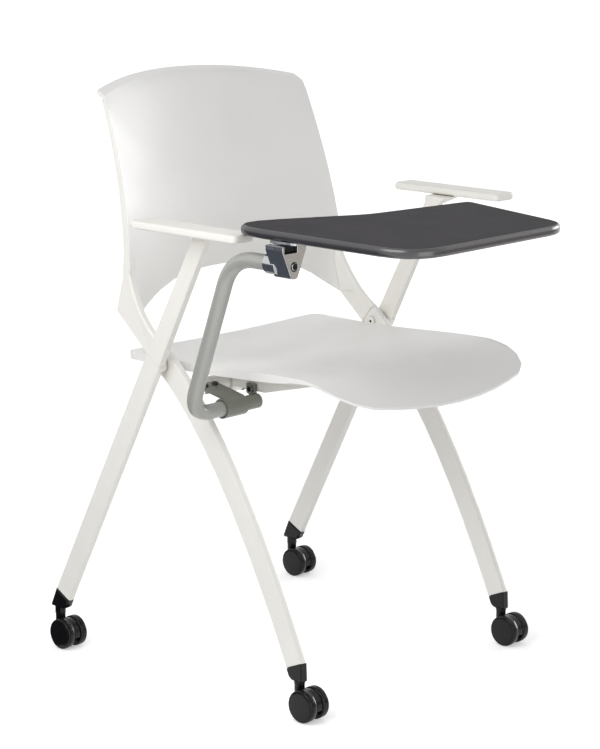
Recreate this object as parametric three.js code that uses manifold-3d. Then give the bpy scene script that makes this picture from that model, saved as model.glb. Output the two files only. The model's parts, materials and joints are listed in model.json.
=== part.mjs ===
// A nesting chair on four casters: crossed legs, flip-up seat, armrests and a writing tablet.
// Millimetres, +Z up. The sitter faces -Y, so the sitter's right hand is on the -X side.

import * as THREE from "three";
import { mergeVertices } from "three/addons/utils/BufferGeometryUtils.js";
import Module from "manifold-3d";

const wasm = await Module();
wasm.setup();

// Driving dimensions
const gap = 0.3; // left between pieces that touch
const overrun = 6; // how far a cutter runs past what it cuts
const farOver = 48; // how far a cutter runs to clear a whole piece
const weld = 1e-3; // points closer than this are one point
const sides = { left: 1, right: -1 };
const degree = Math.PI / 180;

// How finely curves and edges are divided
const facets = {
  curve: 6,
  edge: 2,
  plainEdge: 1,
  frameCurve: 8,
  legRun: 10,
  railRun: 8,
  hoodCurve: 5,
  padCurve: 4,
  tabletCurve: 5,
  tabletEdge: 3,
  coverCurve: 4,
  tubeRing: 7,
  tubeRun: 26,
  ring: 12,
  boreRing: 8,
  pin: 12,
  neck: 14,
  head: 16,
  wheel: 16,
  rod: 20,
  bore: 24,
  shell: { across: 18, up: 12 },
  seat: { across: 14, along: 16 },
  underSeat: { across: 12, along: 18 },
};

const stance = { inset: 32, halfBase: 245 };

const wheel = {
  radius: 24,
  width: 13,
  apart: 12.6,
  dome: 0.4,
  faceRadius: 19.5,
  shoulder: 1.4,
  edge: 1.9,
  rimWall: 4,
  faceWall: 4,
  hubRadius: 7,
};
const axle = { radius: 3 };
const hood = {
  width: 11,
  radius: 22.8,
  hubRadius: 8,
  round: 0.8,
  frontDip: 12,
  rearDip: 24,
  hubReach: 62,
  wheelRoom: 1.2,
};
const caster = {
  trail: 18,
  neckRadius: 7.7,
  neckTop: 52,
  neckFoot: 36,
  stemRadius: 4,
  stemFoot: 40,
  stemHead: 86,
};
const plug = { collarRadius: 8.3, chamfer: 4, chamferIn: 6, thickness: 14, round: 2, tongue: 24 };
const rearPlug = { bottom: 62, tail: 15.4, legEnd: 85 };
const frontPlug = { bottom: 54.5, tail: 10 };

const leg = { thickness: 13, width: 33, wall: 1.6, round: 3.4 };
const rearLeg = { hingeY: 28.2, hingeRise: -1, topHalf: 252, splay: 9, seamRise: 11, seamSlope: 34 };
const frontLeg = { footZ: 62, topWidth: 37, topY: 37, topRise: 8, bendY: -104, bendRise: -98.5 };
const upright = { topWidth: 30, flare: 12, reach: 30, frontReach: 9, rearReach: 5 };

const pad = {
  outward: 11,
  width: 43,
  front: -195,
  back: 20,
  rise: 222,
  thickness: 12,
  corner: 10,
  round: 3.6,
};

const back = {
  thickness: 13,
  round: 2.6,
  kinkY: 131,
  kinkRise: 66,
  waistY: 121,
  waistRise: 130,
  topY: 187,
  topRise: 388,
  topHalf: 206,
  railTop: 7,
  railWaist: 13,
  railEndRise: 376,
  railCurve: 1.3,
  leanCurve: 1.6,
  kinkCurve: 1.5,
  peg: 22,
  pegSlack: 1,
  seamFoot: 118,
  seamRise: 26,
  overShare: 1.1,
  armBendY: 80,
  armBendRise: 55,
};
const shell = {
  sheet: 4.6,
  crown: 22,
  sag: 36,
  corner: 4,
  crownCurve: 2.2,
  lip: 13,
  lipHeight: 11,
  lipCurve: 2,
  footRise: 108,
  footDrop: 80,
  footCurve: 3,
  cutDepth: 40,
  rowShare: 1.6,
};

const pivot = { y: -14, rise: -34, tubeRadius: 12.5, tubeWall: 2 };

const seat = {
  sideRoom: 23,
  rear: 158,
  rearBow: 14,
  front: -345,
  bow: 34,
  rearCorner: 20,
  frontCorner: 46,
  height: 480,
  rise: 10,
  riseEnd: -225,
  waterfall: 44,
  fallCurve: 1.7,
  rearRoll: 7,
  rearRollStart: 136,
  dish: 9,
  dishY: 25,
  dishReach: 165,
  sheet: 4.8,
  flange: 13,
  flangeEnd: -150,
  lip: 3.4,
  lipStart: -262,
  rimWall: 5,
};
const hinge = { inward: 122, width: 22, ringWall: 6, neckHalf: 15 };
const support = {
  inward: 93.5,
  width: 25,
  ringRadius: 17.5,
  bottomRise: -39,
  knee: -96,
  tip: -196,
  tipRise: -14,
  drop: 7,
};
const bumper = { radius: 8, y: -160, reach: 52 };

const spacer = { radius: 11 };
const bolt = { radius: 5, headRadius: 8, head: 2.4 };

const arm = {
  inward: -61,
  radius: 11.2,
  wall: 1.8,
  pivotY: -85,
  pivotRise: -51.5,
  bend: 44,
  runY: -175,
  runRise: 189.5,
  runEnd: -268,
};
const holder = {
  mouth: 3,
  step: 45,
  end: 78,
  outer: 14.8,
  smallOuter: 10.9,
  chamfer: 1,
  plateFrom: 7.5,
  plateTo: 46,
  plateEndY: -27,
  plateEndRise: -26,
  plate: 3,
  lugWidth: 4,
  lugY: -71,
  lugHalf: 9,
  lugRise: -28,
  lugScrewRise: -36,
  lugScrewDepth: 7,
  screwRadius: 2.6,
  headRadius: 4.8,
  head: 3,
  screwY: -37,
  screws: [17, 37],
  tab: 4,
  tabReach: 20,
  holeReach: 24,
};
const bracket = {
  back: -247,
  flangeBack: -262,
  front: -294,
  radius: 14.6,
  topHalf: 23,
  shoulder: 7,
  keel: 17,
  keelHalf: 5.5,
  keelRound: 5,
  rise: 218.6,
  tubeDepth: 22,
  bore: 3.4,
  screwRadius: 3,
  headRadius: 5.4,
  head: 4,
  recessRadius: 7,
  recess: 3,
};
const stopBlock = { at: -6.5, half: 12, height: 10, depth: 12, setBack: 6 };
const mountPlate = { inner: -11, outer: -69, back: -252, front: -300, corner: 8 };
const tablet = {
  rise: 223,
  thickness: 14,
  round: 5,
  outer: -75.5,
  corners: {
    nearRear: { y: -154, round: 58 },
    waist: { x: -100, y: -252, round: 120 },
    farRear: { x: 100, y: -273, round: 14 },
    farFront: { x: 27, y: -512, round: 60 },
    nearFront: { y: -520, round: 66 },
  },
  wall: 4.5,
  skin: 4.5,
  cover: 2.4,
};

// Heights follow the seat, and widths the heads of the rear legs. A place inward of the right front leg's
// centre is counted from there towards the left.
const aboveSeat = (rise) => seat.height + rise;
const hingeZ = aboveSeat(rearLeg.hingeRise);
const kinkZ = aboveSeat(back.kinkRise);
const waistZ = aboveSeat(back.waistRise);
const backTopZ = aboveSeat(back.topRise);
const seamZ = aboveSeat(back.seamFoot);
const pivotZ = aboveSeat(pivot.rise);
const armPivotZ = aboveSeat(arm.pivotRise);
const runZ = aboveSeat(arm.runRise);
const bracketTop = aboveSeat(bracket.rise);
const tabletBottom = aboveSeat(tablet.rise);
const padTop = aboveSeat(pad.rise);
const supportBottom = aboveSeat(support.bottomRise);
const lugTop = aboveSeat(holder.lugRise);
const lugScrewZ = aboveSeat(holder.lugScrewRise);
const plateEndZ = aboveSeat(holder.plateEndRise);
const armBendZ = aboveSeat(back.armBendRise);
const rearHalf = rearLeg.topHalf + rearLeg.splay;
const frontHalf = rearHalf - stance.inset;
const seatHalf = frontHalf - seat.sideRoom;
const padInner = rearLeg.topHalf + pad.outward;
const hingeAt = frontHalf - hinge.inward;
const supportAt = frontHalf - support.inward;
const fromLeg = (inward) => inward - frontHalf;
const armX = fromLeg(arm.inward);
const stepX = fromLeg(holder.step);
const tabletOuter = fromLeg(tablet.outer);

// Materials
function finish(color, roughness, metalness) {
  return new THREE.MeshStandardMaterial({ color, roughness, metalness });
}
const whiteSteel = finish("#ecebe8", 0.45, 0.1);
const whiteMoulding = finish("#e6e5e2", 0.55, 0);
const blackNylon = finish("#1d1d1f", 0.45, 0);
const blackRubber = finish("#161617", 0.8, 0);
const plainSteel = finish("#a9abae", 0.3, 0.9);
const blackSteel = finish("#232325", 0.35, 0.6);
const greySteel = finish("#bcbdbb", 0.4, 0.3);
const greyPaint = finish("#7c7e75", 0.5, 0.2);
const castAlloy = finish("#c9cacb", 0.15, 1);
const darkMoulding = finish("#545357", 0.6, 0);

// Turning a geometry into a closed mesh whose faces point out
function closed(geometry) {
  const bare = geometry.clone();
  bare.deleteAttribute("normal");
  bare.deleteAttribute("uv");
  const merged = mergeVertices(bare, weld);
  const place = merged.attributes.position;
  const corner = (i) => new THREE.Vector3().fromBufferAttribute(place, i);
  const faces = [];
  let volume = 0;
  for (let i = 0; i < merged.index.count; i += 3) {
    const [a, b, c] = [0, 1, 2].map((k) => merged.index.getX(i + k));
    if (a === b || b === c || c === a) continue;
    faces.push([a, b, c]);
    volume += corner(a).dot(corner(b).cross(corner(c)));
  }
  merged.setIndex(faces.flatMap(([a, b, c]) => (volume < 0 ? [a, c, b] : [a, b, c])));
  return merged;
}

function solid(geometry) {
  const mesh = closed(geometry);
  const vertProperties = Float32Array.from(mesh.attributes.position.array);
  const triVerts = Uint32Array.from(mesh.index.array);
  return new wasm.Manifold(new wasm.Mesh({ numProp: 3, vertProperties, triVerts }));
}

function fromSolid(body) {
  const mesh = body.getMesh();
  const geometry = new THREE.BufferGeometry();
  geometry.setAttribute("position", new THREE.BufferAttribute(mesh.vertProperties, 3));
  geometry.setIndex(new THREE.BufferAttribute(mesh.triVerts, 1));
  return geometry;
}

function join(...geometries) {
  return fromSolid(geometries.map(solid).reduce((sum, next) => sum.add(next)));
}

function cut(geometry, ...tools) {
  // Only the largest body is kept, so no loose sliver is left beside it.
  const rest = tools.map(solid).reduce((body, tool) => body.subtract(tool), solid(geometry));
  const [largest] = rest.decompose().sort((a, b) => b.volume() - a.volume());
  return fromSolid(largest);
}

// Shapes drawn side-on in (y, z) and given thickness along x
const sideOn = new THREE.Matrix4().makeBasis(
  new THREE.Vector3(0, 1, 0),
  new THREE.Vector3(0, 0, 1),
  new THREE.Vector3(1, 0, 0),
);

function rounded(shape, thickness, round, curveSegments = facets.curve, bevelSegments = facets.edge) {
  const depth = thickness - 2 * round;
  return new THREE.ExtrudeGeometry(shape, {
    depth,
    bevelEnabled: true,
    bevelThickness: round,
    bevelSize: round,
    bevelOffset: -round,
    bevelSegments,
    curveSegments,
  }).translate(0, 0, -depth / 2);
}

function straight(shape, thickness, curveSegments = facets.curve) {
  return new THREE.ExtrudeGeometry(shape, {
    depth: thickness,
    bevelEnabled: false,
    curveSegments,
  }).translate(0, 0, -thickness / 2);
}

function polygon(points) {
  return new THREE.Shape(points.map(([x, y]) => new THREE.Vector2(x, y)));
}

function cornered(points) {
  // Each point is [x, y, radius]; a corner with a radius becomes an arc-like curve.
  const shape = new THREE.Shape();
  points.forEach(([x, y, radius = 0], i) => {
    const here = new THREE.Vector2(x, y);
    const [before, after] = [points.at(i - 1), points[(i + 1) % points.length]].map(
      ([u, v]) => new THREE.Vector2(u, v).sub(here).normalize(),
    );
    const turn = Math.acos(THREE.MathUtils.clamp(before.dot(after), -1, 1)) / 2;
    const reach = radius / Math.tan(turn);
    const start = before.multiplyScalar(reach).add(here);
    const end = after.multiplyScalar(reach).add(here);
    if (i === 0) shape.moveTo(start.x, start.y);
    else shape.lineTo(start.x, start.y);
    if (radius > 0) shape.quadraticCurveTo(x, y, end.x, end.y);
  });
  return shape;
}

function strip(centre, halfWidth, ways) {
  // A band of changing width along a line of points, square to the line at both ends.
  const normals = centre.map((point, i) => {
    const ahead = centre[Math.min(i + 1, centre.length - 1)];
    const behind = centre[Math.max(i - 1, 0)];
    const way = ways ? ways[i] : new THREE.Vector2().subVectors(ahead, behind).normalize();
    return new THREE.Vector2(-way.y, way.x);
  });
  const edge = (way) => centre.map((p, i) => p.clone().addScaledVector(normals[i], way * halfWidth(i)));
  return new THREE.Shape([...edge(-1), ...edge(1).reverse()]);
}

function reshape(geometry, move) {
  const place = geometry.attributes.position;
  const point = new THREE.Vector3();
  for (let i = 0; i < place.count; i += 1) {
    move(point.fromBufferAttribute(place, i));
    place.setXYZ(i, point.x, point.y, point.z);
  }
  return geometry;
}

function across(radius, length, segments = facets.rod) {
  return new THREE.CylinderGeometry(radius, radius, length, segments).rotateZ(-Math.PI / 2);
}

function endwise(radius, front, rear, segments = facets.head) {
  return new THREE.CylinderGeometry(radius, radius, rear - front, segments).translate(0, (front + rear) / 2, 0);
}

function standing(radius, low, high, segments = facets.rod) {
  return new THREE.CylinderGeometry(radius, radius, high - low, segments)
    .rotateX(Math.PI / 2)
    .translate(0, 0, (low + high) / 2);
}

function piece(name, geometry, material) {
  const mesh = new THREE.Mesh(closed(geometry), material);
  mesh.name = name;
  return mesh;
}

function circle(y, z, radius) {
  return new THREE.Shape().absarc(y, z, radius, 0, 2 * Math.PI);
}

// Casters
function wheelGeometry(way) {
  const inner = wheel.apart / 2;
  const outer = inner + wheel.width;
  const profile = [
    [0, outer],
    [wheel.faceRadius, outer - wheel.dome],
    [wheel.radius - wheel.edge, outer - wheel.shoulder],
    [wheel.radius, outer - wheel.shoulder - wheel.edge],
    [wheel.radius, inner],
    [wheel.radius - wheel.rimWall, inner],
    [wheel.radius - wheel.rimWall, outer - wheel.faceWall],
    [wheel.hubRadius, outer - wheel.faceWall],
    [wheel.hubRadius, inner],
    [axle.radius + gap, inner],
    [axle.radius + gap, outer - wheel.faceWall],
    [0, outer - wheel.faceWall],
  ];
  const points = profile.map(([r, x]) => new THREE.Vector2(r, way * x));
  return new THREE.LatheGeometry(points, facets.wheel).rotateZ(-Math.PI / 2);
}

function hoodGeometry() {
  const [cy, cz] = [-caster.trail, wheel.radius];
  const body = new THREE.Shape();
  const front = Math.PI + hood.frontDip * degree;
  const rear = -hood.rearDip * degree;
  const reach = hood.hubReach * degree;
  body.absarc(cy, cz, hood.radius, front, rear, true);
  body.absarc(cy, cz, hood.hubRadius, -reach, reach - Math.PI, true);
  const blade = rounded(body, hood.width, hood.round, facets.hoodCurve, facets.plainEdge).applyMatrix4(sideOn);
  const neck = standing(caster.neckRadius, caster.neckFoot, caster.neckTop, facets.neck);
  const stemBore = caster.stemRadius + gap;
  const stemHole = standing(stemBore, caster.stemFoot - gap, caster.neckTop + overrun, facets.pin);
  const axleHole = across(axle.radius + gap, hood.width + overrun, facets.pin).translate(0, cy, cz);
  const rooms = Object.values(sides).map((side) => {
    const room = across(wheel.radius + hood.wheelRoom, wheel.width, facets.wheel);
    return room.translate((side * (hood.width + wheel.width)) / 2, cy, cz);
  });
  return cut(join(blade, cut(neck, ...rooms)), stemHole, axleHole);
}

function addCaster(name, side, half, y) {
  const group = new THREE.Group();
  group.position.set(side * half, y, 0);
  group.add(piece(`${name}_hood`, hoodGeometry(), blackNylon));
  const shaftLength = wheel.apart + 2 * (wheel.width - wheel.faceWall) - 2 * gap;
  const shaft = piece(`${name}_axle`, across(axle.radius, shaftLength, facets.pin), plainSteel);
  shaft.position.set(0, -caster.trail, wheel.radius);
  group.add(shaft);
  for (const [way, label] of [[side, "outer"], [-side, "inner"]]) {
    const disc = piece(`${name}_${label}_wheel`, wheelGeometry(way), blackNylon);
    disc.position.copy(shaft.position);
    group.add(disc);
  }
  const stem = standing(caster.stemRadius, caster.stemFoot, caster.stemHead, facets.pin);
  group.add(piece(`${name}_stem`, stem, plainSteel));
  return group;
}

// Centre lines of the legs, from the floor end up
const rearSlope = (stance.halfBase - rearLeg.hingeY) / (hingeZ - rearPlug.bottom);
const rearDrop = new THREE.Vector2(-rearSlope, 1).normalize();
const rearLine = (z) => new THREE.Vector2(stance.halfBase - rearSlope * (z - rearPlug.bottom), z);
const padBottom = padTop - pad.thickness;
const leanRatio = rearLeg.splay / (padBottom - rearPlug.bottom);
const rearHalfAt = (z) => rearHalf - leanRatio * (z - rearPlug.bottom);
const frontCurve = new THREE.QuadraticBezierCurve(
  new THREE.Vector2(-stance.halfBase, frontLeg.footZ),
  new THREE.Vector2(frontLeg.bendY, aboveSeat(frontLeg.bendRise)),
  new THREE.Vector2(frontLeg.topY, aboveSeat(frontLeg.topRise)),
);
const frontStartShare = 0.023;

function seamCutter(way) {
  // Everything above (+1) or below (-1) the slanted joint between rear leg and upright.
  const at = rearLine(hingeZ + rearLeg.seamRise);
  const tan = Math.tan(rearLeg.seamSlope * degree);
  const reach = 2 * leg.width;
  const shift = (-way * gap) / 2;
  const block = polygon([
    [at.x - reach, at.y - reach * tan + shift],
    [at.x + reach, at.y + reach * tan + shift],
    [at.x + reach, at.y + way * 2 * reach],
    [at.x - reach, at.y + way * 2 * reach],
  ]);
  return straight(block, leg.width).applyMatrix4(sideOn);
}

function leanIn(geometry, side) {
  return reshape(geometry, (p) => {
    p.x += side * rearHalfAt(p.z);
  });
}

function rearLegGeometry(side) {
  const top = rearLine(hingeZ + 2 * leg.width);
  const foot = rearLine(rearPlug.legEnd);
  const below = foot.clone().addScaledVector(rearDrop, -overrun);
  const tube = rounded(strip([foot, top], () => leg.width / 2), leg.thickness, leg.round);
  const hollow = rounded(
    strip([below, top.clone().addScaledVector(rearDrop, overrun)], () => leg.width / 2 - leg.wall),
    leg.thickness - 2 * leg.wall,
    leg.round - leg.wall,
    facets.curve,
    facets.plainEdge,
  );
  const open = cut(tube.applyMatrix4(sideOn), hollow.applyMatrix4(sideOn), seamCutter(1));
  return leanIn(open, side);
}

function uprightGeometry(side) {
  const foot = rearLine(hingeZ - leg.width);
  const top = rearLine(padBottom - gap);
  const wide = leg.width / 2;
  const narrow = upright.topWidth / 2;
  const level = wide / rearDrop.y;
  const neck = rearLine(top.y - upright.flare);
  const outline = cornered([
    [foot.x - level, foot.y],
    [foot.x + level, foot.y],
    [neck.x + narrow, neck.y, upright.flare / 2],
    [top.x + narrow + upright.rearReach, top.y],
    [top.x - narrow - upright.frontReach, top.y],
    [neck.x - narrow, neck.y, upright.flare / 2],
  ]);
  const bar = rounded(outline, leg.thickness, leg.round).applyMatrix4(sideOn);
  const head = reshape(bar, (p) => {
    const rise = Math.max(0, (p.z - top.y + upright.flare) / upright.flare);
    if (p.x * side > 0) p.x += side * upright.reach * rise * rise;
  });
  return leanIn(cut(head, seamCutter(-1)), side);
}

function frontLegGeometry(side) {
  const shares = Array.from({ length: facets.legRun + 1 }, (_, i) => i / facets.legRun).map(
    (part) => frontStartShare + (1 - frontStartShare) * part,
  );
  const points = shares.map((share) => frontCurve.getPoint(share));
  const ways = shares.map((share) => frontCurve.getTangent(share));
  const halfAt = (i) => (leg.width + ((frontLeg.topWidth - leg.width) * i) / facets.legRun) / 2;
  const tube = rounded(strip(points, halfAt, ways), leg.thickness, leg.round);
  const inner = points.map((point) => point.clone());
  inner[0].addScaledVector(ways[0], -overrun);
  inner[facets.legRun].addScaledVector(ways[facets.legRun], overrun);
  const hollow = rounded(
    strip(inner, (i) => halfAt(i) - leg.wall, ways),
    leg.thickness - 2 * leg.wall,
    leg.round - leg.wall,
    facets.curve,
    facets.plainEdge,
  );
  const open = cut(tube.applyMatrix4(sideOn), hollow.applyMatrix4(sideOn));
  return open.translate(side * frontHalf, 0, 0);
}

function tongue(at, way, from, to, half) {
  // The part of a fitting that fills the inside of a tube end.
  const ends = [from, to].map((reach) => at.clone().addScaledVector(way, reach));
  const outline = strip(ends, () => half - leg.wall - gap);
  const thickness = leg.thickness - 2 * leg.wall - 2 * gap;
  return rounded(outline, thickness, leg.round - leg.wall, facets.curve, facets.plainEdge).applyMatrix4(sideOn);
}

function plugGeometry({ foot, up, x, y, bottom, tail }, place) {
  // A nylon foot: it closes the tube, turns to the vertical stem and takes the stem's socket.
  const half = leg.width / 2;
  const end = foot.clone().addScaledVector(up, -gap);
  const lead = Math.sign(up.x);
  const half2 = new THREE.Vector2(up.y, -up.x).multiplyScalar(lead * half);
  const shoulder = bottom + plug.chamfer;
  const shoulderY = end.x + ((shoulder - end.y) * up.x) / up.y + (lead * half) / up.y;
  const block = polygon([
    [end.x - half2.x, end.y - half2.y],
    [end.x + half2.x, end.y + half2.y],
    [shoulderY, shoulder],
    [shoulderY - lead * plug.chamferIn, bottom],
    [y - lead * (tail - plug.round), bottom],
    [y - lead * tail, bottom + plug.round],
  ]);
  const body = join(
    rounded(block, plug.thickness, plug.round, facets.curve, facets.plainEdge).applyMatrix4(sideOn),
    tongue(foot, up, -plug.round, plug.tongue, half),
    standing(plug.collarRadius, caster.neckTop + gap, bottom + plug.round).translate(0, y, 0),
  );
  const hole = standing(caster.stemRadius + gap, caster.neckTop - overrun, caster.stemHead + gap, facets.head);
  return cut(place(body), hole.translate(x, y, 0));
}

// Backrest
const above = (z) => THREE.MathUtils.clamp((z - waistZ) / (backTopZ - waistZ), 0, back.overShare);
const railHalfAt = (z) => {
  const down = THREE.MathUtils.clamp((backTopZ - z) / (backTopZ - kinkZ), 0, 1);
  return back.topHalf + (frontHalf - back.topHalf) * down ** back.railCurve;
};
const backLine = (z) => {
  const low = Math.max(0, (waistZ - z) / (waistZ - kinkZ));
  const lean = (back.topY - back.waistY) * above(z) ** back.leanCurve;
  return back.waistY + lean + (back.kinkY - back.waistY) * low ** back.kinkCurve;
};
const railDepth = (z) => back.railTop + (back.railWaist - back.railTop) * (1 - above(z));
const legTopWay = frontCurve.getTangent(1);
const legTopOut = new THREE.Vector2(legTopWay.y, -legTopWay.x).multiplyScalar(frontLeg.topWidth / 2);
const legTop = frontCurve.getPoint(1).addScaledVector(legTopWay, gap);
const armUnder = (z) => {
  const foot = legTop.clone().add(legTopOut);
  return foot.x + ((z - foot.y) * (back.kinkY - foot.x)) / (kinkZ - foot.y);
};
const sheetLine = (z) => {
  const free = back.waistY + (back.topY - back.waistY) * above(z) ** back.leanCurve - railDepth(z);
  return Math.min(free, armUnder(z) - shell.sheet);
};
const armFront = () => sheetLine(seamZ) - shell.sheet;

function alongRail(geometry, side) {
  return reshape(geometry, (p) => {
    p.x += side * railHalfAt(p.z);
  });
}

function armRegion(grow) {
  // The plate of the lower arm, from its front edge back past the shell.
  const high = legTop.clone().sub(legTopOut);
  const behind = back.kinkY + shell.cutDepth;
  const shape = new THREE.Shape();
  shape.moveTo(high.x - grow, high.y);
  shape.quadraticCurveTo(back.armBendY - grow, armBendZ, armFront() - grow, seamZ + grow);
  shape.lineTo(sheetLine(seamZ + back.seamRise), seamZ + back.seamRise + grow);
  shape.lineTo(behind, seamZ + back.seamRise + grow);
  shape.lineTo(behind, high.y);
  return straight(shape, back.thickness + 2 * gap, facets.frameCurve).applyMatrix4(sideOn);
}

function backFrameGeometry(side) {
  const low = legTop.clone().add(legTopOut);
  const high = legTop.clone().sub(legTopOut);
  const steps = facets.railRun;
  const level = (i) => seamZ + ((aboveSeat(back.railEndRise) - seamZ) * i) / steps;
  const shape = new THREE.Shape();
  shape.moveTo(low.x, low.y);
  shape.lineTo(back.kinkY, kinkZ);
  for (let i = 0; i <= steps; i += 1) shape.lineTo(backLine(level(i)), level(i));
  for (let i = steps; i >= 0; i -= 1) shape.lineTo(sheetLine(level(i)) - shell.sheet, level(i));
  shape.quadraticCurveTo(back.armBendY, armBendZ, high.x, high.y);
  const bar = rounded(shape, back.thickness, back.round, facets.frameCurve, facets.plainEdge).applyMatrix4(sideOn);
  const pegHalf = frontLeg.topWidth / 2 - back.pegSlack;
  const peg = tongue(frontCurve.getPoint(1), legTopWay, -back.peg, 2 * back.round, pegHalf);
  const body = alongRail(join(bar, peg), side);
  return cut(body, cut(shellSlab(-shell.cutDepth, gap), alongRail(armRegion(0), side)));
}

function shellSlab(fromBack, toBack) {
  // A slab that follows the shell's rear surface, from one distance behind it to another.
  const box = new THREE.BoxGeometry(2, 1, 1, facets.shell.across, 1, facets.shell.up);
  return reshape(box, (p) => {
    const u = Math.sin((p.x * Math.PI) / 2);
    const cornerIn = Math.max(0, Math.abs(u) * back.topHalf - (back.topHalf - shell.corner));
    const cornerDrop = shell.corner - Math.sqrt(Math.max(0, shell.corner ** 2 - cornerIn ** 2));
    const top = backTopZ + shell.crown * (1 - Math.abs(u) ** shell.crownCurve) - cornerDrop;
    const foot = aboveSeat(shell.footRise) - shell.footDrop * Math.abs(u) ** shell.footCurve;
    const z = top - (top - foot) * (0.5 - p.z) ** shell.rowShare;
    const x = u * (railHalfAt(z) + back.thickness / 2);
    const roll = Math.max(0, (z - top + shell.lipHeight) / shell.lipHeight) ** shell.lipCurve;
    const behind = sheetLine(z) + shell.sag * (1 - u * u) + shell.lip * roll;
    p.set(x, behind + (p.y < 0 ? fromBack : toBack), z);
  });
}

function shellGeometry() {
  const arms = Object.values(sides).map((side) => alongRail(armRegion(gap), side));
  return cut(shellSlab(-shell.sheet, 0), ...arms);
}

// Seat
const seatTop = (x, y) => {
  const u = Math.min(1, Math.abs(x) / seatHalf);
  const climb = THREE.MathUtils.smoothstep(seat.dishY - y, 0, seat.dishY - seat.riseEnd) * seat.rise;
  const ahead = Math.max(0, (seat.riseEnd - y) / (seat.riseEnd - seat.front));
  const behind = Math.max(0, (y - seat.rearRollStart) / (seat.rear - seat.rearRollStart));
  const away = (y - seat.dishY) / seat.dishReach;
  const fall = ahead ** seat.fallCurve * seat.waterfall + behind * behind * seat.rearRoll;
  return seat.height + climb - fall - seat.dish * (1 - u * u) * Math.max(0, 1 - away * away);
};

const flangeAt = (y) => {
  // The turned-down edge fades out towards the front, where only the thin lip of the sheet is left.
  const share = THREE.MathUtils.smoothstep(-y, -seat.flangeEnd, -seat.lipStart);
  return seat.flange + (seat.lip - seat.flange) * share;
};

function seatSlab(inset, topDrop, bottomDrop, steps) {
  // A slab that follows the seat's upper surface between two depths below it.
  const box = new THREE.BoxGeometry(2, 2, 1, steps.across, steps.along, 1);
  const half = seatHalf - inset;
  return reshape(box, (p) => {
    const u = Math.sin((p.x * Math.PI) / 2);
    const x = u * half;
    const arc = (radius) => {
      const into = Math.max(0, Math.abs(x) - (half - radius));
      return radius - Math.sqrt(Math.max(0, radius ** 2 - into ** 2));
    };
    const rear = seat.rear - inset - seat.rearBow * u * u - arc(seat.rearCorner);
    const front = seat.front + inset + seat.bow * u * u + arc(seat.frontCorner);
    const v = (1 - Math.sin((p.y * Math.PI) / 2)) / 2;
    const y = rear + (front - rear) * v;
    p.set(x, y, seatTop(x, y) - (p.z > 0 ? topDrop : bottomDrop(y)));
  });
}

function seatGeometry() {
  const body = seatSlab(0, 0, flangeAt, facets.seat);
  const pocket = seatSlab(seat.rimWall, seat.sheet, () => seat.flange + overrun, facets.seat);
  return cut(body, pocket);
}

function underSeat(geometry, clearance) {
  // Trims a piece that rises to the seat so that it stops just under the seat's sheet.
  return cut(geometry, seatSlab(seat.rimWall, seat.sheet + clearance, () => -farOver, facets.underSeat));
}

function hingeGeometry(side) {
  const ring = circle(pivot.y, pivotZ, pivot.tubeRadius + hinge.ringWall);
  const neck = polygon([
    [pivot.y - hinge.neckHalf, pivotZ],
    [pivot.y + hinge.neckHalf, pivotZ],
    [pivot.y + hinge.neckHalf, seat.height],
    [pivot.y - hinge.neckHalf, seat.height],
  ]);
  const body = join(
    straight(ring, hinge.width, facets.ring).applyMatrix4(sideOn),
    straight(neck, hinge.width).applyMatrix4(sideOn),
  ).translate(side * hingeAt, 0, 0);
  const bore = across(pivot.tubeRadius + gap, hinge.width + overrun, facets.bore);
  return cut(underSeat(body, gap), bore.translate(side * hingeAt, pivot.y, pivotZ));
}

function supportGeometry(side) {
  const ring = circle(pivot.y, pivotZ, support.ringRadius);
  const blade = polygon([
    [pivot.y, supportBottom],
    [support.knee, supportBottom],
    [support.tip, aboveSeat(support.tipRise)],
    [support.tip, seat.height],
    [pivot.y - support.ringRadius / 2, seat.height],
    [pivot.y, pivotZ + support.ringRadius],
  ]);
  const body = join(
    straight(ring, support.width, facets.ring).applyMatrix4(sideOn),
    straight(blade, support.width).applyMatrix4(sideOn),
  ).translate(side * supportAt, 0, 0);
  const bore = across(pivot.tubeRadius + gap, support.width + overrun, facets.bore);
  const trimmed = cut(underSeat(body, support.drop), bore.translate(side * supportAt, pivot.y, pivotZ));
  return side === sides.right ? cut(trimmed, lugHole()) : trimmed;
}

function bumperGeometry(side) {
  const post = standing(bumper.radius, supportBottom, seat.height + seat.rise, facets.head);
  const block = post.translate(side * supportAt, bumper.y, 0);
  const depth = seat.sheet + support.drop - gap;
  return cut(underSeat(block, gap), seatSlab(seat.rimWall, depth, () => bumper.reach, facets.underSeat));
}

function crossTubeGeometry() {
  // The tube that the seat turns on, with the small welded tab that carries the tablet arm's holder.
  const length = 2 * (frontHalf - leg.thickness / 2 - gap);
  const ring = circle(pivot.y, pivotZ, pivot.tubeRadius);
  const inside = circle(pivot.y, pivotZ, pivot.tubeRadius - pivot.tubeWall);
  const tube = straight(ring, length, facets.ring).applyMatrix4(sideOn);
  const bore = straight(inside, length + overrun, facets.boreRing).applyMatrix4(sideOn);
  const tabFront = holder.plateEndY - holder.tabReach;
  const shelf = plateSlab(tabFront, pivot.y, holder.plate + gap, holder.tab);
  const screwBore = holder.screwRadius + gap;
  const holes = holder.screws.map((x) => throughPlate(x, screwBore, -holder.holeReach, 0, facets.pin));
  return cut(join(tube, shelf), bore, ...holes);
}

// Joint of the crossed legs
function spacerGeometry(side) {
  const from = frontHalf + leg.thickness / 2 + gap;
  const to = rearHalfAt(hingeZ) - leg.thickness / 2 - 2 * gap;
  return across(spacer.radius, to - from).translate(side * ((from + to) / 2), 0, 0);
}

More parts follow.
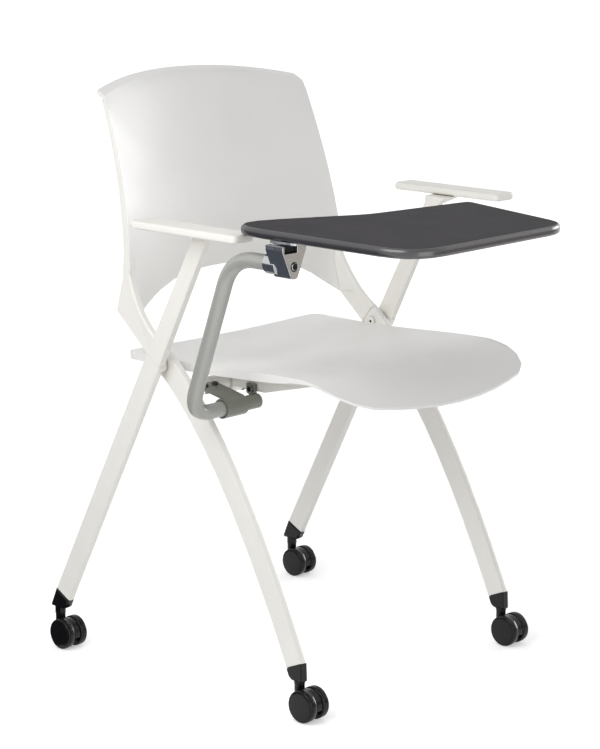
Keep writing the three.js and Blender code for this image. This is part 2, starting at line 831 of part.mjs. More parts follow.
// Armrests
function padGeometry(side) {
  const [inner, outer] = [side * padInner, side * (padInner + pad.width)];
  const outline = cornered([
    [inner, pad.front, pad.corner],
    [outer, pad.front, pad.corner],
    [outer, pad.back, pad.corner],
    [inner, pad.back, pad.corner],
  ]);
  const block = rounded(outline, pad.thickness, pad.round, facets.padCurve, facets.edge);
  return block.translate(0, 0, padTop - pad.thickness / 2);
}

// Writing tablet arm
function armPath() {
  const foot = new THREE.Vector3(stepX - gap, arm.pivotY, armPivotZ);
  const low = new THREE.Vector3(armX, arm.pivotY, armPivotZ);
  const high = new THREE.Vector3(armX, arm.runY, runZ);
  const end = new THREE.Vector3(armX, arm.runEnd, runZ);
  const path = new THREE.CurvePath();
  const toward = (from, to, length) => new THREE.Vector3().subVectors(to, from).setLength(length).add(from);
  const corners = [foot, low, high, end];
  let at = foot;
  for (const i of [1, 2]) {
    const start = toward(corners[i], corners[i - 1], arm.bend);
    const stop = toward(corners[i], corners[i + 1], arm.bend);
    path.add(new THREE.LineCurve3(at, start));
    path.add(new THREE.QuadraticBezierCurve3(start, corners[i], stop));
    at = stop;
  }
  path.add(new THREE.LineCurve3(at, end));
  return path;
}

function armTubeGeometry() {
  const section = circle(0, 0, arm.radius);
  section.holes.push(new THREE.Path().absarc(0, 0, arm.radius - arm.wall, 0, 2 * Math.PI, true));
  return new THREE.ExtrudeGeometry(section, {
    steps: facets.tubeRun,
    curveSegments: facets.tubeRing,
    extrudePath: armPath(),
  });
}

function sleeveGeometry() {
  const bore = arm.radius + gap;
  const profile = [
    [0, stepX],
    [bore, stepX],
    [bore, fromLeg(holder.mouth)],
    [holder.outer, fromLeg(holder.mouth)],
    [holder.outer, stepX],
    [holder.smallOuter, stepX + holder.outer - holder.smallOuter],
    [holder.smallOuter, fromLeg(holder.end) - holder.chamfer],
    [holder.smallOuter - holder.chamfer, fromLeg(holder.end)],
    [0, fromLeg(holder.end)],
  ];
  const points = profile.map(([r, x]) => new THREE.Vector2(r, x));
  const tube = new THREE.LatheGeometry(points, facets.rod).rotateZ(-Math.PI / 2);
  return tube.translate(0, arm.pivotY, armPivotZ);
}

// The holder's plate leaves the sleeve as a tangent and ends in front of the seat's pivot tube.
const plateRun = new THREE.Vector2(holder.plateEndY - arm.pivotY, plateEndZ - armPivotZ);
const plateTilt = plateRun.angle() - Math.asin(holder.outer / plateRun.length());
const plateTop = (y) => plateEndZ + (y - holder.plateEndY) * Math.tan(plateTilt);

function plateSlab(fromY, toY, drop, thickness) {
  // A slab of the plate's width, parallel to its top face and a given depth below it.
  const outline = polygon([
    [fromY, plateTop(fromY) - drop - thickness],
    [toY, plateTop(toY) - drop - thickness],
    [toY, plateTop(toY) - drop],
    [fromY, plateTop(fromY) - drop],
  ]);
  const slab = straight(outline, fromLeg(holder.plateTo) - fromLeg(holder.plateFrom)).applyMatrix4(sideOn);
  return slab.translate((fromLeg(holder.plateTo) + fromLeg(holder.plateFrom)) / 2, 0, 0);
}

function throughPlate(x, radius, low, high, segments) {
  const rod = standing(radius, low, high, segments).rotateX(plateTilt);
  return rod.translate(fromLeg(x), holder.screwY, plateTop(holder.screwY));
}

function holderGeometry() {
  const touchY = arm.pivotY - holder.outer * Math.sin(plateTilt);
  const plate = plateSlab(touchY, holder.plateEndY, 0, holder.plate);
  const outline = polygon([
    [holder.lugY - holder.lugHalf, armPivotZ],
    [holder.lugY + holder.lugHalf, armPivotZ + holder.lugHalf],
    [holder.lugY + holder.lugHalf, lugTop],
    [holder.lugY - holder.lugHalf, lugTop],
  ]);
  const ear = straight(outline, holder.lugWidth).applyMatrix4(sideOn).translate(lugX, 0, 0);
  const screwBore = holder.screwRadius + gap;
  const holes = holder.screws.map((x) => throughPlate(x, screwBore, -overrun, overrun, facets.pin));
  return cut(join(sleeveGeometry(), plate, ear), ...holes, lugHole());
}

const lugX = -(supportAt + support.width / 2) - gap - holder.lugWidth / 2;

function lugHole() {
  const length = holder.lugWidth + 2 * holder.lugScrewDepth;
  return across(holder.screwRadius + gap, length, facets.pin).translate(lugX, holder.lugY, lugScrewZ);
}

function holderScrewGeometry(x) {
  const seat = gap + holder.head;
  return join(
    throughPlate(x, holder.screwRadius, -holder.plate - holder.tab, 2 * gap, facets.pin),
    throughPlate(x, holder.headRadius, gap, seat, facets.head),
  );
}

function lugScrewGeometry() {
  const face = lugX - holder.lugWidth / 2;
  const length = holder.lugWidth + holder.lugScrewDepth;
  const shank = across(holder.screwRadius, length, facets.pin).translate(face + length / 2 - 2 * gap, 0, 0);
  const head = across(holder.headRadius, holder.head, facets.head).translate(face - gap - holder.head / 2, 0, 0);
  return join(shank, head).translate(0, holder.lugY, lugScrewZ);
}

// Tablet and its hinge
function bracketGeometry() {
  const top = bracketTop - runZ;
  const outline = cornered([
    [-bracket.topHalf, top],
    [-bracket.topHalf, top - bracket.shoulder, bracket.shoulder],
    [-bracket.keelHalf, -bracket.keel, bracket.keelRound],
    [bracket.keelHalf, -bracket.keel, bracket.keelRound],
    [bracket.topHalf, top - bracket.shoulder, bracket.shoulder],
    [bracket.topHalf, top],
  ]);
  const body = straight(outline, bracket.flangeBack - bracket.front, facets.padCurve)
    .rotateX(Math.PI / 2)
    .translate(0, (bracket.flangeBack + bracket.front) / 2, 0);
  const tubeEnd = bracket.back - bracket.tubeDepth;
  const recessEnd = bracket.front + bracket.recess;
  const socket = endwise(bracket.radius, tubeEnd, bracket.back, facets.rod);
  const tubeBore = endwise(arm.radius + gap, tubeEnd, bracket.back + overrun, facets.rod);
  const screwBore = endwise(bracket.bore, bracket.front - overrun, tubeEnd + overrun, facets.pin);
  const recess = endwise(bracket.recessRadius, bracket.front - overrun, recessEnd, facets.head);
  const notchDepth = stopBlock.setBack + stopBlock.depth + gap;
  const notch = new THREE.BoxGeometry(
    2 * (stopBlock.half + gap),
    notchDepth + overrun,
    stopBlock.height + gap + overrun,
  ).translate(
    stopBlock.at,
    bracket.front + (notchDepth - overrun) / 2,
    top + (overrun - stopBlock.height - gap) / 2,
  );
  return cut(join(body, socket), tubeBore, screwBore, recess, notch).translate(armX, 0, runZ);
}

function stopBlockGeometry() {
  return new THREE.BoxGeometry(2 * stopBlock.half, stopBlock.depth, stopBlock.height - gap).translate(
    armX + stopBlock.at,
    bracket.front + stopBlock.setBack + stopBlock.depth / 2,
    bracketTop - stopBlock.height / 2,
  );
}

function pivotScrewGeometry() {
  const seatY = bracket.front + bracket.recess - gap;
  const tip = bracket.back - bracket.tubeDepth / 2;
  return join(
    endwise(bracket.screwRadius, seatY - gap, tip, facets.pin),
    endwise(bracket.headRadius, seatY - bracket.head, seatY, facets.head),
  ).translate(armX, 0, runZ);
}

function endPlugGeometry() {
  const radius = arm.radius - arm.wall - gap;
  const [front, rear] = [arm.runEnd, arm.runEnd + bracket.tubeDepth];
  const hole = endwise(bracket.bore, front - overrun, rear + overrun, facets.pin);
  return cut(endwise(radius, front, rear, facets.head), hole).translate(armX, 0, runZ);
}

function tabletOutline(inset) {
  const { nearRear, waist, farRear, farFront, nearFront } = tablet.corners;
  const points = [
    { x: tabletOuter, ...nearRear },
    waist,
    farRear,
    farFront,
    { x: tabletOuter, ...nearFront },
  ];
  const centre = { x: (tabletOuter + farRear.x) / 2, y: (farRear.y + farFront.y) / 2 };
  const span = (farRear.x - tabletOuter) / 2;
  const share = (span - inset) / span;
  return cornered(
    points.map(({ x, y, round }) => [
      centre.x + (x - centre.x) * share,
      centre.y + (y - centre.y) * share,
      round * share,
    ]),
  );
}

function tabletGeometry() {
  const body = rounded(tabletOutline(0), tablet.thickness, tablet.round, facets.tabletCurve, facets.tabletEdge);
  const depth = tablet.thickness - tablet.skin;
  const pocket = straight(tabletOutline(tablet.wall + tablet.round / 2), depth + overrun, facets.coverCurve);
  const hollow = pocket.translate(0, 0, -tablet.thickness / 2 + (depth - overrun) / 2);
  return cut(body, hollow).translate(0, 0, tabletBottom + tablet.thickness / 2);
}

function tabletCoverGeometry() {
  const edge = tabletOutline(tablet.wall + tablet.round / 2 + gap);
  const sheet = straight(edge, tablet.cover, facets.coverCurve);
  return sheet.translate(0, 0, tabletBottom + tablet.cover / 2);
}

function mountPlateGeometry() {
  const outline = cornered([
    [fromLeg(mountPlate.outer), mountPlate.front, mountPlate.corner],
    [fromLeg(mountPlate.inner), mountPlate.front, mountPlate.corner],
    [fromLeg(mountPlate.inner), mountPlate.back, mountPlate.corner],
    [fromLeg(mountPlate.outer), mountPlate.back, mountPlate.corner],
  ]);
  const thickness = tabletBottom - bracketTop - 2 * gap;
  return straight(outline, thickness, facets.padCurve).translate(0, 0, (tabletBottom + bracketTop) / 2);
}

const boltEnd = rearHalfAt(hingeZ) + leg.thickness / 2 - leg.wall - 2 * gap;

function frameBoltGeometry(side) {
  // Clamps front leg, spacer and rear leg together, with its head inside and its end hidden in the rear leg.
  const inside = frontHalf - leg.thickness / 2 - gap;
  const shank = across(bolt.radius, boltEnd - inside + gap, facets.head);
  const head = across(bolt.headRadius, bolt.head, facets.head).translate(side * (inside - bolt.head / 2), 0, 0);
  const bolted = join(shank.translate(side * ((inside + boltEnd) / 2), 0, 0), head);
  return bolted.translate(0, rearLeg.hingeY, hingeZ);
}

function boltHole(side) {
  const from = frontHalf - leg.thickness;
  const to = boltEnd + gap;
  const hole = across(bolt.radius + gap, to - from, facets.head);
  return hole.translate(side * ((from + to) / 2), rearLeg.hingeY, hingeZ);
}

// Assembly
const chair = new THREE.Group();

for (const [label, side] of Object.entries(sides)) {
  chair.add(addCaster(`rear_${label}`, side, rearHalf, stance.halfBase));
  chair.add(addCaster(`front_${label}`, side, frontHalf, -stance.halfBase));

  const [rearX, frontX] = [side * rearHalf, side * frontHalf];
  const rearFit = { ...rearPlug, foot: rearLine(rearPlug.legEnd), up: rearDrop, x: rearX, y: stance.halfBase };
  const rearFoot = plugGeometry(rearFit, (body) => leanIn(body, side));
  chair.add(piece(`rear_${label}_foot_plug`, rearFoot, blackNylon));
  const [start, up] = [frontCurve.getPoint(frontStartShare), frontCurve.getTangent(frontStartShare)];
  const frontFit = { ...frontPlug, foot: start, up, x: frontX, y: -stance.halfBase };
  const frontFoot = plugGeometry(frontFit, (body) => body.translate(frontX, 0, 0));
  chair.add(piece(`front_${label}_foot_plug`, frontFoot, blackNylon));

  chair.add(piece(`rear_leg_${label}`, cut(rearLegGeometry(side), boltHole(side)), whiteSteel));
  chair.add(piece(`front_leg_${label}`, cut(frontLegGeometry(side), boltHole(side)), whiteSteel));
  chair.add(piece(`arm_upright_${label}`, uprightGeometry(side), whiteMoulding));
  chair.add(piece(`arm_pad_${label}`, padGeometry(side), whiteMoulding));
  chair.add(piece(`back_frame_${label}`, cut(backFrameGeometry(side), boltHole(side)), whiteMoulding));

  const washer = spacerGeometry(side).translate(0, rearLeg.hingeY, hingeZ);
  chair.add(piece(`leg_spacer_${label}`, cut(washer, boltHole(side)), whiteSteel));
  chair.add(piece(`leg_bolt_${label}`, frameBoltGeometry(side), whiteSteel));

  chair.add(piece(`seat_hinge_${label}`, hingeGeometry(side), blackNylon));
  chair.add(piece(`seat_support_${label}`, supportGeometry(side), whiteSteel));
  chair.add(piece(`seat_bumper_${label}`, bumperGeometry(side), blackRubber));
}

chair.add(piece("seat_pivot_tube", crossTubeGeometry(), whiteSteel));
chair.add(piece("back_shell", shellGeometry(), whiteMoulding));
chair.add(piece("seat_shell", seatGeometry(), whiteMoulding));

chair.add(piece("tablet_arm_tube", armTubeGeometry(), greySteel));
chair.add(piece("tablet_arm_holder", holderGeometry(), greyPaint));
for (const [i, x] of holder.screws.entries())
  chair.add(piece(`tablet_holder_screw_${i + 1}`, holderScrewGeometry(x), blackSteel));
chair.add(piece("tablet_lug_screw", lugScrewGeometry(), plainSteel));
chair.add(piece("tablet_arm_end_plug", endPlugGeometry(), plainSteel));
chair.add(piece("tablet_pivot_screw", pivotScrewGeometry(), plainSteel));
chair.add(piece("tablet_bracket", bracketGeometry(), castAlloy));
chair.add(piece("tablet_stop_block", stopBlockGeometry(), blackRubber));
chair.add(piece("tablet_mount_plate", mountPlateGeometry(), plainSteel));
chair.add(piece("tablet_top", tabletGeometry(), darkMoulding));
chair.add(piece("tablet_underside", tabletCoverGeometry(), darkMoulding));

// The origin lies under the middle of the whole chair.
const whole = new THREE.Box3().setFromObject(chair);
chair.position.y = -(whole.min.y + whole.max.y) / 2;

export default chair;
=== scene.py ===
import json
from math import cos, pi, radians, sin

import bmesh
import bpy
from mathutils import Matrix, Vector


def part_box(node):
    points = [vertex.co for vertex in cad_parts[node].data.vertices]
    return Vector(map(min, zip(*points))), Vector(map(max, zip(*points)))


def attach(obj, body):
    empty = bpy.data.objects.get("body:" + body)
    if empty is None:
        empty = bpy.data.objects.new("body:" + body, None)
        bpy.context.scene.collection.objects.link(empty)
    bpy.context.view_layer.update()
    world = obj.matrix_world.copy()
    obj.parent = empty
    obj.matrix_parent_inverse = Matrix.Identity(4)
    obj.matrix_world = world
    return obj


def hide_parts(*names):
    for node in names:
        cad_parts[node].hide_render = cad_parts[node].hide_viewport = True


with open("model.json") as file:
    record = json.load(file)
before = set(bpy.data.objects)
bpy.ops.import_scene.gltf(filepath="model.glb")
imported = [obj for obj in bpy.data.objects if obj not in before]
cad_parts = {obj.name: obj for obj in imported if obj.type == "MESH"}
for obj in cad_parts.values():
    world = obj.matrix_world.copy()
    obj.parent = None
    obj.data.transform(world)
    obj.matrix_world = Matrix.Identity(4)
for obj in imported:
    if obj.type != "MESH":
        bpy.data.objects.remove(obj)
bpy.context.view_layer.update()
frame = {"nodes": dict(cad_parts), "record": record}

# The picture. The camera stands in front of the chair on the tablet side, a little above the armrests,
# and sees it through a long lens. Places are in metres.
camera = bpy.data.objects.new("camera", bpy.data.cameras.new("camera"))
bpy.context.scene.collection.objects.link(camera)
camera.data.sensor_fit = "HORIZONTAL"
camera.data.sensor_width = 36
camera.data.lens = 134.9
camera.location = (-2.4276, -2.2310, 1.1814)
camera.rotation_euler = Vector((0.7037, 0.6767, -0.2166)).to_track_quat("-Z", "Y").to_euler()
bpy.context.scene.camera = camera
bpy.context.scene.view_settings.view_transform = "Standard"


# The set. A white paper floor under a white sky that is brighter behind the chair than in front of it, a soft
# panel on the left, a weaker low one in front and a low sun on the right. Camera and mirrors see a white page.
def linear(code):
    """An sRGB hex colour as linear red, green, blue and alpha."""
    parts = [int(code[i:i + 2], 16) / 255 for i in (0, 2, 4)]
    return tuple(p / 12.92 if p <= 0.04045 else ((p + 0.055) / 1.055) ** 2.4 for p in parts) + (1.0,)


def add_node(tree, kind, values=None, links=None, **settings):
    """Adds one shader node with its settings, its sockets' values and what feeds them."""
    made = tree.nodes.new(kind)
    for name, value in settings.items():
        setattr(made, name, value)
    for socket, value in (values or {}).items():
        made.inputs[socket].default_value = value
    for socket, source in (links or {}).items():
        tree.links.new(source, made.inputs[socket])
    return made


def seen_directly(tree):
    """1 for rays from the camera, and for those that a mirror or glass passes on, otherwise 0."""
    path = add_node(tree, "ShaderNodeLightPath")
    mirrored = add_node(tree, "ShaderNodeMath", operation="MAXIMUM", links={
        0: path.outputs["Is Glossy Ray"], 1: path.outputs["Is Transmission Ray"]})
    return add_node(tree, "ShaderNodeMath", operation="MAXIMUM", links={
        0: path.outputs["Is Camera Ray"], 1: mirrored.outputs[0]}).outputs[0]


floor_reach = 60
floor_mesh = bpy.data.meshes.new("floor")
floor_mesh.from_pydata([(x * floor_reach, y * floor_reach, 0) for x, y in ((-1, -1), (1, -1), (1, 1), (-1, 1))],
                       [], [(0, 1, 2, 3)])
floor = bpy.data.objects.new("floor", floor_mesh)
bpy.context.scene.collection.objects.link(floor)

# Studio paper: matt and white. Where it is seen it also glows a little, and more so away from the chair,
# which turns the page white and leaves the shadow under the chair.
near_chair, off_page = 0.5, 2.5
glow_near_chair, glow_off_page = 0.42, 0.66
paper = bpy.data.materials.new("white_studio_paper")
paper.use_nodes = True
tree = paper.node_tree
tree.nodes.clear()
place = add_node(tree, "ShaderNodeNewGeometry").outputs["Position"]
away = add_node(tree, "ShaderNodeVectorMath", operation="LENGTH", links={0: place})
fade = add_node(tree, "ShaderNodeMapRange", links={"Value": away.outputs["Value"]}, values={
    "From Min": near_chair, "From Max": off_page, "To Min": glow_near_chair, "To Max": glow_off_page})
lift = add_node(tree, "ShaderNodeMath", operation="MULTIPLY", links={0: seen_directly(tree), 1: fade.outputs[0]})
glow = add_node(tree, "ShaderNodeEmission", links={"Strength": lift.outputs[0]})
matt = add_node(tree, "ShaderNodeBsdfDiffuse", values={"Color": linear("F6F6F6")})
both = add_node(tree, "ShaderNodeAddShader", links={0: matt.outputs[0], 1: glow.outputs[0]})
add_node(tree, "ShaderNodeOutputMaterial", links={"Surface": both.outputs[0]})
floor_mesh.materials.append(paper)

sky_in_front, sky_behind, sky_seen = 0.20, 0.80, 1.0
sky = bpy.data.worlds.new("sky")
bpy.context.scene.world = sky
sky.use_nodes = True
tree = sky.node_tree
tree.nodes.clear()
direction = add_node(tree, "ShaderNodeTexCoord").outputs["Generated"]
heading = add_node(tree, "ShaderNodeSeparateXYZ", links={0: direction})
room = add_node(tree, "ShaderNodeMapRange", links={"Value": heading.outputs["Y"]}, values={
    "From Min": -1.0, "From Max": 1.0, "To Min": sky_in_front, "To Max": sky_behind})
level = add_node(tree, "ShaderNodeMapRange", values={"To Max": sky_seen},
                 links={"Value": seen_directly(tree), "To Min": room.outputs[0]})
white = add_node(tree, "ShaderNodeBackground", values={"Color": (1, 1, 1, 1)},
                 links={"Strength": level.outputs[0]})
add_node(tree, "ShaderNodeOutputWorld", links={"Surface": white.outputs[0]})

sun = bpy.data.objects.new("low_sun", bpy.data.lights.new("low_sun", "SUN"))
bpy.context.scene.collection.objects.link(sun)
sun.data.energy = 1.75
sun.data.angle = radians(30)
sun.rotation_euler = Vector((-0.98, 0.12, -0.12)).to_track_quat("-Z", "Y").to_euler()

# The panels are a metre square and face the middle of the chair: name, watts and place.
middle_of_chair = Vector((0, 0, 0.55))
for name, watts, place in (("left_panel", 11.2, (-1.3, -0.2, 1.3)), ("front_panel", 4.5, (-0.3, -1.6, 0.5))):
    panel = bpy.data.objects.new(name, bpy.data.lights.new(name, "AREA"))
    bpy.context.scene.collection.objects.link(panel)
    panel.data.energy = watts
    panel.data.size = 1.0
    panel.visible_camera = False
    panel.location = place
    panel.rotation_euler = (middle_of_chair - panel.location).to_track_quat("-Z", "Y").to_euler()

# Two boards out of the picture, which only mirrors see, draw darker shapes into bright metal and gloss:
# name, width in metres, middle of the foot, middle of the top, and colour.
for name, width, foot, top, colour in (
        ("front_board", 2.2, Vector((1.2, -1.6, 0.0)), Vector((1.2, -1.6, 0.62)), "C4BDB2"),
        ("rear_board", 1.6, Vector((-0.30, 0.35, 0.002)), Vector((-1.2, 1.25, 0.60)), "565A64")):
    along = Vector((-top.y, top.x, 0)).normalized() * width / 2
    board_mesh = bpy.data.meshes.new(name)
    board_mesh.from_pydata([foot - along, foot + along, top + along, top - along], [], [(0, 1, 2, 3)])
    board = bpy.data.objects.new(name, board_mesh)
    bpy.context.scene.collection.objects.link(board)
    board.visible_camera = board.visible_diffuse = board.visible_shadow = False
    cloth = bpy.data.materials.new(name + "_cloth")
    cloth.use_nodes = True
    cloth.node_tree.nodes.clear()
    flat = add_node(cloth.node_tree, "ShaderNodeEmission", values={"Color": linear(colour)})
    add_node(cloth.node_tree, "ShaderNodeOutputMaterial", links={"Surface": flat.outputs[0]})
    board_mesh.materials.append(cloth)


# The crossed legs. Each leg is one rectangular steel tube with rounded corners, bent and welded, and
# powder coated off-white; the inner pair and the outer pair meet at a spacer and a bolt.
bodies = {node: body for body, nodes in frame["record"]["behaviour"]["bodies"].items() for node in nodes}


def new_material(name):
    """An empty node material."""
    made = bpy.data.materials.new(name)
    made.use_nodes = True
    made.node_tree.nodes.clear()
    return made, made.node_tree


def coated(name, base, cloud_and_corner_tint, grain_mm, depth_mm, rough, shine=0.5):
    """A smooth coat or moulding: fine texture, faint clouding of tone and gloss, and in corners painted shade where
    the corner colour is darker and dust where it is paler.
    """
    cloud_mm = 90
    corner_reach = 0.007
    made, tree = new_material(name)
    place = add_node(tree, "ShaderNodeTexCoord").outputs["Object"]
    cloud = add_node(tree, "ShaderNodeTexNoise", links={"Vector": place}, values={
        "Scale": 1000 / cloud_mm, "Detail": 3.0}).outputs[0]
    fine = add_node(tree, "ShaderNodeTexNoise", links={"Vector": place}, values={
        "Scale": 1000 / grain_mm, "Detail": 1.5}).outputs[0]
    clouded = add_node(tree, "ShaderNodeMapRange", links={"Value": cloud}, values={
        "From Min": 0.35, "From Max": 0.7, "To Min": 0.0, "To Max": 0.04})
    tone = add_node(tree, "ShaderNodeMix", data_type="RGBA", links={0: clouded.outputs[0]}, values={
        6: linear(base), 7: linear(cloud_and_corner_tint)})
    # Corners take the second colour by how closed in they are: painted shade where it is darker, dust where it is
    # paler.
    corner = add_node(tree, "ShaderNodeAmbientOcclusion", values={"Distance": corner_reach}, samples=6)
    corner_tint_mask = add_node(tree, "ShaderNodeMapRange", links={"Value": corner.outputs["AO"]}, values={
        "From Min": 0.1, "From Max": 0.85, "To Min": 0.85, "To Max": 0.0})
    colour = add_node(tree, "ShaderNodeMix", data_type="RGBA", links={0: corner_tint_mask.outputs[0], 6: tone.outputs[2]},
                      values={7: linear(cloud_and_corner_tint)})
    gloss = add_node(tree, "ShaderNodeMapRange", links={"Value": cloud}, values={
        "From Min": 0.3, "From Max": 0.7, "To Min": rough[0], "To Max": rough[1]})
    bump = add_node(tree, "ShaderNodeBump", links={"Height": fine}, values={
        "Strength": 0.35, "Distance": depth_mm / 1000})
    skin = add_node(tree, "ShaderNodeBsdfPrincipled", values={"Specular IOR Level": shine}, links={
        "Base Color": colour.outputs[2], "Roughness": gloss.outputs[0], "Normal": bump.outputs[0]})
    add_node(tree, "ShaderNodeOutputMaterial", links={"Surface": skin.outputs[0]})
    return made


# Powder coat: sprayed dry and baked, so it flows into a faint orange peel. Real peel is about 1.5 mm
# from crest to crest; it is drawn at 3 mm so that it shows.
# Its corners are painted a darker grey, as shade.
powder_coat = coated("powder_coated_steel", "F1EFEA", "8F8C84", 3.0, 0.10, (0.30, 0.40))


def add_piece(work, name, material, body, stands_for):
    """Turns a mesh in the making into a piece of the chair."""
    mesh = bpy.data.meshes.new(name)
    work.to_mesh(mesh)
    work.free()
    mesh.materials.append(material)
    made = bpy.data.objects.new(name, mesh)
    bpy.context.scene.collection.objects.link(made)
    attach(made, body)
    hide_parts(*stands_for)
    return made


def rounded(node, material, edge_mm=0.7):
    """The node's own form with its edges broken to a small radius and its curves shaded smooth."""
    same_point = 2e-6
    same_plane = radians(0.4)
    edge_from = radians(32)
    work = bmesh.new()
    work.from_mesh(frame["nodes"][node].data)
    bmesh.ops.remove_doubles(work, verts=work.verts, dist=same_point)
    bmesh.ops.dissolve_limit(work, angle_limit=same_plane, verts=work.verts, edges=work.edges)
    made = add_piece(work, node + "_piece", material, bodies[node], [node])
    bevel = made.modifiers.new("edges", "BEVEL")
    bevel.width = edge_mm / 1000
    bevel.segments = 2
    bevel.limit_method = "ANGLE"
    bevel.angle_limit = edge_from
    bevel.use_clamp_overlap = True
    made.data.polygons.foreach_set("use_smooth", [True] * len(made.data.polygons))
    even = made.modifiers.new("even_shading", "WEIGHTED_NORMAL")
    even.keep_sharp = True
    return made


for side in ("left", "right"):
    for node in ("front_leg_", "rear_leg_", "leg_spacer_"):
        rounded(node + side, powder_coat)


# The leg bolts. One steel bolt clamps each pair of legs at the crossing; its low button head has a hexagon
# socket and is coated with the frame.
def outer_face(node):
    """The middle and the direction of the node's largest flat face, such as the top of a screw's head."""
    flats = {}
    for face in frame["nodes"][node].data.polygons:
        flats.setdefault(tuple(round(part, 1) for part in face.normal), []).append(face)
    widest = max(flats.values(), key=lambda faces: sum(face.area for face in faces))
    whole = sum(face.area for face in widest)
    middle = sum((face.center * face.area for face in widest), Vector()) / whole
    return middle, sum((face.normal * face.area for face in widest), Vector()).normalized()


def driven(node, material, flats_mm, depth_mm, edge_mm=0.4):
    """The node's own form with a hexagon socket in its head, painted black inside as shade."""
    made = rounded(node, material, edge_mm=edge_mm)
    middle, out = outer_face(node)
    corners = 6
    radius = flats_mm / 2000 / cos(pi / corners)
    work = bmesh.new()
    bmesh.ops.create_cone(work, cap_ends=True, segments=corners, radius1=radius, radius2=radius,
                          depth=2 * depth_mm / 1000)
    work.transform(Matrix.Translation(middle) @ out.to_track_quat("Z", "Y").to_matrix().to_4x4())
    key = bpy.data.objects.new("key", bpy.data.meshes.new("key"))
    work.to_mesh(key.data)
    work.free()
    bpy.context.scene.collection.objects.link(key)
    socket = made.modifiers.new("socket", "BOOLEAN")
    socket.object = key
    socket.solver = "EXACT"
    made.modifiers.move(len(made.modifiers) - 1, 1)
    bpy.context.view_layer.update()
    shaped = bpy.data.meshes.new_from_object(made.evaluated_get(bpy.context.evaluated_depsgraph_get()))
    made.modifiers.clear()
    made.data = shaped
    bpy.data.objects.remove(key)
    shaped.materials.append(socket_shade)
    # Faces inside the socket take the black of painted shade.
    for face in shaped.polygons:
        inward = (face.center - middle).dot(out)
        off_axis = (face.center - middle - out * inward).length
        if inward < -edge_mm / 1000 and off_axis < 1.02 * radius:
            face.material_index = 1
    return made


# Painted shade for the sockets: black and dull. Its 0.5 mm grain is drawn at 1.5 mm.
socket_shade = coated("painted_socket_shade", "0C0C0C", "060606", 1.5, 0.03, (0.5, 0.7), shine=0.2)
for side in ("left", "right"):
    driven("leg_bolt_" + side, powder_coat, 4.0, 1.6)

# The casters. A nylon plug closes each foot and holds a steel stem; the hood turns on the stem, and the
# two wheels turn on one axle through it. Hood, plug and wheels are moulded, stem and axle are turned.

# Zinc-plated steel: a thin bright plating with a slight mottle, really 1 mm wide and drawn at 4 mm.
mottle_mm = 4.0
zinc, tree = new_material("zinc_plated_steel")
place = add_node(tree, "ShaderNodeTexCoord").outputs["Object"]
mottle = add_node(tree, "ShaderNodeTexNoise", links={"Vector": place}, values={
    "Scale": 1000 / mottle_mm, "Detail": 4.0}).outputs[0]
colour = add_node(tree, "ShaderNodeMix", data_type="RGBA", links={0: mottle}, values={
    6: linear("9FA3A8"), 7: linear("C6C9CC")})
gloss = add_node(tree, "ShaderNodeMapRange", links={"Value": mottle}, values={"To Min": 0.24, "To Max": 0.42})
bump = add_node(tree, "ShaderNodeBump", links={"Height": mottle}, values={"Strength": 0.2, "Distance": 0.00005})
skin = add_node(tree, "ShaderNodeBsdfPrincipled", values={"Metallic": 1.0}, links={
    "Base Color": colour.outputs[2], "Roughness": gloss.outputs[0], "Normal": bump.outputs[0]})
add_node(tree, "ShaderNodeOutputMaterial", links={"Surface": skin.outputs[0]})

# Black nylon, moulded in a smooth tool: deep black with a soft shine and a faint ripple, which is really
# about 1 mm wide and is drawn at 2.4 mm.
nylon = coated("black_nylon", "09090A", "151516", 2.4, 0.04, (0.16, 0.26), shine=0.28)


def smooth(work):
    """Shades all faces smooth, with a crease only where two faces meet at more than 50 degrees."""
    for face in work.faces:
        face.smooth = True
    for edge in work.edges:
        edge.smooth = not (edge.is_manifold and edge.calc_face_angle(0) > radians(50))


wheel_turns = 48
# Outline of one wheel from the middle of its outer face to the middle of its inner face, as a share of
# its half width and of its radius: domed cap, fine joint round it, shoulder, tread with one groove.
wheel_outline = [(1.0, 0.0), (0.985, 0.45), (0.955, 0.76), (0.935, 0.835), (0.87, 0.845), (0.87, 0.86), (0.93, 0.87),
                 (0.90, 0.91), (0.82, 0.955), (0.70, 0.985), (0.50, 0.995), (0.43, 0.965), (0.37, 0.965),
                 (0.30, 0.997), (0.0, 1.0), (-0.80, 0.995), (-0.93, 0.97), (-1.0, 0.90), (-1.0, 0.0)]
for end in ("front", "rear"):
    for side in ("left", "right"):
        foot = end + "_" + side
        rounded(foot + "_foot_plug", nylon, edge_mm=0.5)
        rounded(foot + "_hood", nylon, edge_mm=0.8)
        rounded(foot + "_stem", zinc, edge_mm=0.3)
        rounded(foot + "_axle", zinc, edge_mm=0.3)
        middle = sum(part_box(foot + "_axle"), Vector()) / 2
        for which in ("outer", "inner"):
            node = foot + "_" + which + "_wheel"
            low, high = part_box(node)
            centre = (low + high) / 2
            half_width = (high.x - low.x) / 2
            radius = (high.z - low.z) / 2
            outward = 1 if centre.x > middle.x else -1
            work = bmesh.new()
            rows = []
            for across, out in wheel_outline:
                turns = range(wheel_turns) if out else [0]
                rows.append([work.verts.new(centre + Vector((
                    outward * across * half_width,
                    out * radius * cos(2 * pi * turn / wheel_turns),
                    out * radius * sin(2 * pi * turn / wheel_turns)))) for turn in turns])
            for row, following in zip(rows, rows[1:]):
                for turn in range(wheel_turns):
                    corners = [row[turn % len(row)], row[(turn + 1) % len(row)],
                               following[(turn + 1) % len(following)], following[turn % len(following)]]
                    work.faces.new(list(dict.fromkeys(corners)))
            bmesh.ops.recalc_face_normals(work, faces=work.faces)
            smooth(work)
            add_piece(work, node + "_piece", nylon, bodies[node], [node])
